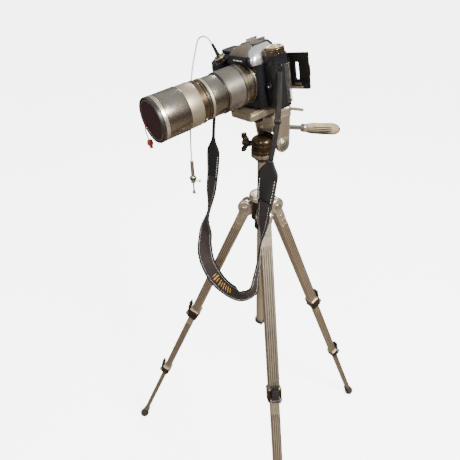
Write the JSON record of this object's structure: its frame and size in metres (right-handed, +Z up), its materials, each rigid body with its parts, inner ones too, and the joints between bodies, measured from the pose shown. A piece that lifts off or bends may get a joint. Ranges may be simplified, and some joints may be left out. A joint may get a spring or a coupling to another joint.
{
  "type": "film camera on tripod",
  "caption": "Film camera with a long zoom lens, neck strap and cable release, on a pan and tilt head over a telescoping three-leg tripod.",
  "frame": {"origin": "on the floor under the centre column", "axes": "+Z up the column, the lens points along -Y, +X is the viewer's left"},
  "size_m": [0.6764, 0.5891, 1.102],
  "materials": {
    "tube": "satin anodised",
    "casting": "dark bronze",
    "head_metal": "satin beige",
    "steel": "brushed",
    "black": "fine matte",
    "silver": "satin",
    "lens_metal": "satin",
    "ring_rubber": "ribbed",
    "cap": "semi gloss",
    "glass": "coated",
    "mirror": "mirror",
    "foot": "matte",
    "grip": "satin",
    "strap": "woven",
    "cable": "woven sleeve",
    "bead": "gloss",
    "gold": "satin"
  },
  "bodies": {
    "tripod_crown": {"crown": "casting", "hinge_pins": "steel"},
    "column": {"column": "tube", "head_base": "casting"},
    "column_knob": {"column_lock_knob": "black"},
    "left_leg_upper": {"left_leg_top": "casting", "left_leg_upper_tube": "tube"},
    "left_leg_upper_lever": {"left_leg_upper_lever": "casting"},
    "left_leg_middle": {"left_leg_middle_tube": "tube"},
    "left_leg_lower_lever": {"left_leg_lower_lever": "casting"},
    "left_leg_lower": {"left_leg_lower_tube": "tube", "left_leg_foot": "foot"},
    "right_leg_upper": {"right_leg_top": "casting", "right_leg_upper_tube": "tube"},
    "right_leg_upper_lever": {"right_leg_upper_lever": "casting"},
    "right_leg_middle": {"right_leg_middle_tube": "tube"},
    "right_leg_lower_lever": {"right_leg_lower_lever": "casting"},
    "right_leg_lower": {"right_leg_lower_tube": "tube", "right_leg_foot": "foot"},
    "rear_leg_upper": {"rear_leg_top": "casting", "rear_leg_upper_tube": "tube"},
    "rear_leg_upper_lever": {"rear_leg_upper_lever": "casting"},
    "rear_leg_middle": {"rear_leg_middle_tube": "tube"},
    "rear_leg_lower_lever": {"rear_leg_lower_lever": "casting"},
    "rear_leg_lower": {"rear_leg_lower_tube": "tube", "rear_leg_foot": "foot"},
    "pan": {"pan_body": "casting"},
    "pan_knob": {"pan_lock_knob": "black"},
    "tilt": {"tilt_bracket": "head_metal", "tilt_screw": "steel"},
    "handle": {"pan_handle": "steel", "handle_grip": "grip"},
    "side_lever": {"side_lock_lever": "head_metal"},
    "camera": {"camera_platform": "head_metal", "camera_body": "black", "top_cover": "silver", "hot_shoe": "steel", "eyepiece": "black", "film_cartridge": "silver", "lens_barrel": "lens_metal", "lens_elements": "glass", "release_cable": "cable", "release_handle": "black", "neck_strap": "strap"},
    "camera_screw": {"camera_screw": "black"},
    "film_door": {"film_door": "black", "pressure_plate": "black"},
    "mode_dial": {"mode_dial": "gold"},
    "shutter_button": {"shutter_button": "steel", "release_ferrule": "steel"},
    "power_collar": {"power_collar": "black"},
    "mirror": {"mirror": "mirror"},
    "take_up_spool": {"take_up_spool": "black"},
    "lens_release": {"lens_release": "black"},
    "aperture_ring": {"aperture_ring": "lens_metal"},
    "zoom_ring": {"zoom_ring": "ring_rubber"},
    "lens_hood": {"lens_hood": "lens_metal"},
    "lens_cap": {"lens_cap": "cap", "cap_tassel": "bead"},
    "release_plunger": {"release_plunger": "steel"}
  },
  "joints": [
    {"name": "left_leg_splay", "type": "hinge", "parent": "tripod_crown", "child": "left_leg_upper", "pos_m": [0.02425, -0.014, 0.814], "axis": [-0.5, -0.866, 0], "range_deg": [-23, 0]},
    {"name": "left_leg_middle_slide", "type": "slide", "parent": "left_leg_upper", "child": "left_leg_middle", "axis": [0.3449, -0.1991, -0.9173], "range_m": [-0.215, 0]},
    {"name": "left_leg_lower_slide", "type": "slide", "parent": "left_leg_middle", "child": "left_leg_lower", "axis": [0.3449, -0.1991, -0.9173], "range_m": [-0.215, 0]},
    {"name": "left_leg_upper_lever_flip", "type": "hinge", "parent": "left_leg_upper", "child": "left_leg_upper_lever", "pos_m": [0.1534, -0.08856, 0.50645], "axis": [0.5, 0.866, 0], "range_deg": [0, 100]},
    {"name": "left_leg_lower_lever_flip", "type": "hinge", "parent": "left_leg_middle", "child": "left_leg_lower_lever", "pos_m": [0.24188, -0.13965, 0.26736], "axis": [0.5, 0.866, 0], "range_deg": [0, 100]},
    {"name": "right_leg_splay", "type": "hinge", "parent": "tripod_crown", "child": "right_leg_upper", "pos_m": [-0.02425, -0.014, 0.814], "axis": [-0.5, 0.866, 0], "range_deg": [-23, 0]},
    {"name": "right_leg_middle_slide", "type": "slide", "parent": "right_leg_upper", "child": "right_leg_middle", "axis": [-0.3449, -0.1991, -0.9173], "range_m": [-0.215, 0]},
    {"name": "right_leg_lower_slide", "type": "slide", "parent": "right_leg_middle", "child": "right_leg_lower", "axis": [-0.3449, -0.1991, -0.9173], "range_m": [-0.215, 0]},
    {"name": "right_leg_upper_lever_flip", "type": "hinge", "parent": "right_leg_upper", "child": "right_leg_upper_lever", "pos_m": [-0.1534, -0.08856, 0.50645], "axis": [0.5, -0.866, 0], "range_deg": [0, 100]},
    {"name": "right_leg_lower_lever_flip", "type": "hinge", "parent": "right_leg_middle", "child": "right_leg_lower_lever", "pos_m": [-0.24188, -0.13965, 0.26736], "axis": [0.5, -0.866, 0], "range_deg": [0, 100]},
    {"name": "rear_leg_splay", "type": "hinge", "parent": "tripod_crown", "child": "rear_leg_upper", "pos_m": [0, 0.028, 0.814], "axis": [1, 0, 0], "range_deg": [-23, 0]},
    {"name": "rear_leg_middle_slide", "type": "slide", "parent": "rear_leg_upper", "child": "rear_leg_middle", "axis": [0, 0.3983, -0.9173], "range_m": [-0.215, 0]},
    {"name": "rear_leg_lower_slide", "type": "slide", "parent": "rear_leg_middle", "child": "rear_leg_lower", "axis": [0, 0.3983, -0.9173], "range_m": [-0.215, 0]},
    {"name": "rear_leg_upper_lever_flip", "type": "hinge", "parent": "rear_leg_upper", "child": "rear_leg_upper_lever", "pos_m": [0, 0.17713, 0.50645], "axis": [-1, 0, 0], "range_deg": [0, 100]},
    {"name": "rear_leg_lower_lever_flip", "type": "hinge", "parent": "rear_leg_middle", "child": "rear_leg_lower_lever", "pos_m": [0, 0.2793, 0.26736], "axis": [-1, 0, 0], "range_deg": [0, 100]},
    {"name": "column_slide", "type": "slide", "parent": "tripod_crown", "child": "column", "axis": [0, 0, 1], "range_m": [-0.06, 0.2], "deforming": ["neck_strap"]},
    {"name": "column_knob_turn", "type": "hinge", "parent": "tripod_crown", "child": "column_knob", "pos_m": [-0.02078, 0.012, 0.828], "axis": [-0.866, 0.5, 0], "continuous": true},
    {"name": "pan", "type": "hinge", "parent": "column", "child": "pan", "pos_m": [0, 0, 0.93], "axis": [0, 0, 1], "continuous": true, "deforming": ["release_cable", "neck_strap"]},
    {"name": "pan_knob_turn", "type": "hinge", "parent": "pan", "child": "pan_knob", "pos_m": [-0.02318, -0.00621, 0.932], "axis": [-0.9659, -0.2588, 0], "continuous": true},
    {"name": "tilt", "type": "hinge", "parent": "pan", "child": "tilt", "pos_m": [0, 0.024, 0.937], "axis": [1, 0, 0], "range_deg": [-36, 20], "deforming": ["release_cable", "neck_strap"]},
    {"name": "handle_twist", "type": "hinge", "parent": "tilt", "child": "handle", "pos_m": [0, 0.03683, 0.95827], "axis": [0, 0.9703, -0.2419], "continuous": true},
    {"name": "side_lever_turn", "type": "hinge", "parent": "tilt", "child": "side_lever", "pos_m": [0, 0.04789, 0.98432], "axis": [0, 0.9877, 0.1564], "range_deg": [0, 90]},
    {"name": "side_tilt", "type": "hinge", "parent": "tilt", "child": "camera", "pos_m": [-0.03, 0.00703, 0.99303], "axis": [0, -0.9877, -0.1564], "range_deg": [-3, 85], "deforming": ["release_cable", "neck_strap"]},
    {"name": "camera_screw_turn", "type": "hinge", "parent": "camera", "child": "camera_screw", "pos_m": [0.00022, -0.01219, 0.98652], "axis": [-0.0523, -0.1562, 0.9863], "continuous": true},
    {"name": "film_door_swing", "type": "hinge", "parent": "camera", "child": "film_door", "pos_m": [-0.07819, 0.01451, 1.03526], "axis": [-0.0523, -0.1562, 0.9863], "range_deg": [-20, 100]},
    {"name": "mode_dial_turn", "type": "hinge", "parent": "camera", "child": "mode_dial", "pos_m": [0.03604, -0.01204, 1.08781], "axis": [-0.0523, -0.1562, 0.9863], "continuous": true},
    {"name": "shutter_press", "type": "slide", "parent": "camera", "child": "shutter_button", "axis": [0.0492, 0.4846, -0.8733], "range_m": [0, 0.0012], "stiffness_N_per_m": 400, "deforming": ["release_cable"]},
    {"name": "power_collar_turn", "type": "hinge", "parent": "camera", "child": "power_collar", "pos_m": [-0.06624, -0.03482, 1.0675], "axis": [-0.0492, -0.4846, 0.8733], "range_deg": [0, 30]},
    {"name": "mirror_lift", "type": "hinge", "parent": "camera", "child": "mirror", "pos_m": [-0.0037, -0.00317, 1.06379], "axis": [-0.9986, 0.0082, -0.0517], "range_deg": [0, 44]},
    {"name": "take_up_spool_turn", "type": "hinge", "parent": "camera", "child": "take_up_spool", "pos_m": [-0.05522, -0.00099, 1.03402], "axis": [-0.0523, -0.1562, 0.9863], "continuous": true},
    {"name": "lens_release_press", "type": "slide", "parent": "camera", "child": "lens_release", "axis": [0, 0.9877, 0.1564], "range_m": [0, 0.0015], "stiffness_N_per_m": 300},
    {"name": "aperture_turn", "type": "hinge", "parent": "camera", "child": "aperture_ring", "pos_m": [-0.00276, -0.04085, 1.03962], "axis": [0, -0.9877, -0.1564], "range_deg": [-30, 30]},
    {"name": "zoom_turn", "type": "hinge", "parent": "camera", "child": "zoom_ring", "pos_m": [-0.00276, -0.06258, 1.03618], "axis": [0, -0.9877, -0.1564], "range_deg": [-45, 45]},
    {"name": "hood_slide", "type": "slide", "parent": "camera", "child": "lens_hood", "axis": [0, -0.9877, -0.1564], "range_m": [-0.025, 0]},
    {"name": "cap_pull", "type": "slide", "parent": "lens_hood", "child": "lens_cap", "axis": [0, -0.9877, -0.1564], "range_m": [0, 0.03]},
    {"name": "release_plunger_press", "type": "slide", "parent": "camera", "child": "release_plunger", "axis": [0, 0, 1], "range_m": [0, 0.005], "stiffness_N_per_m": 300}
  ]
}
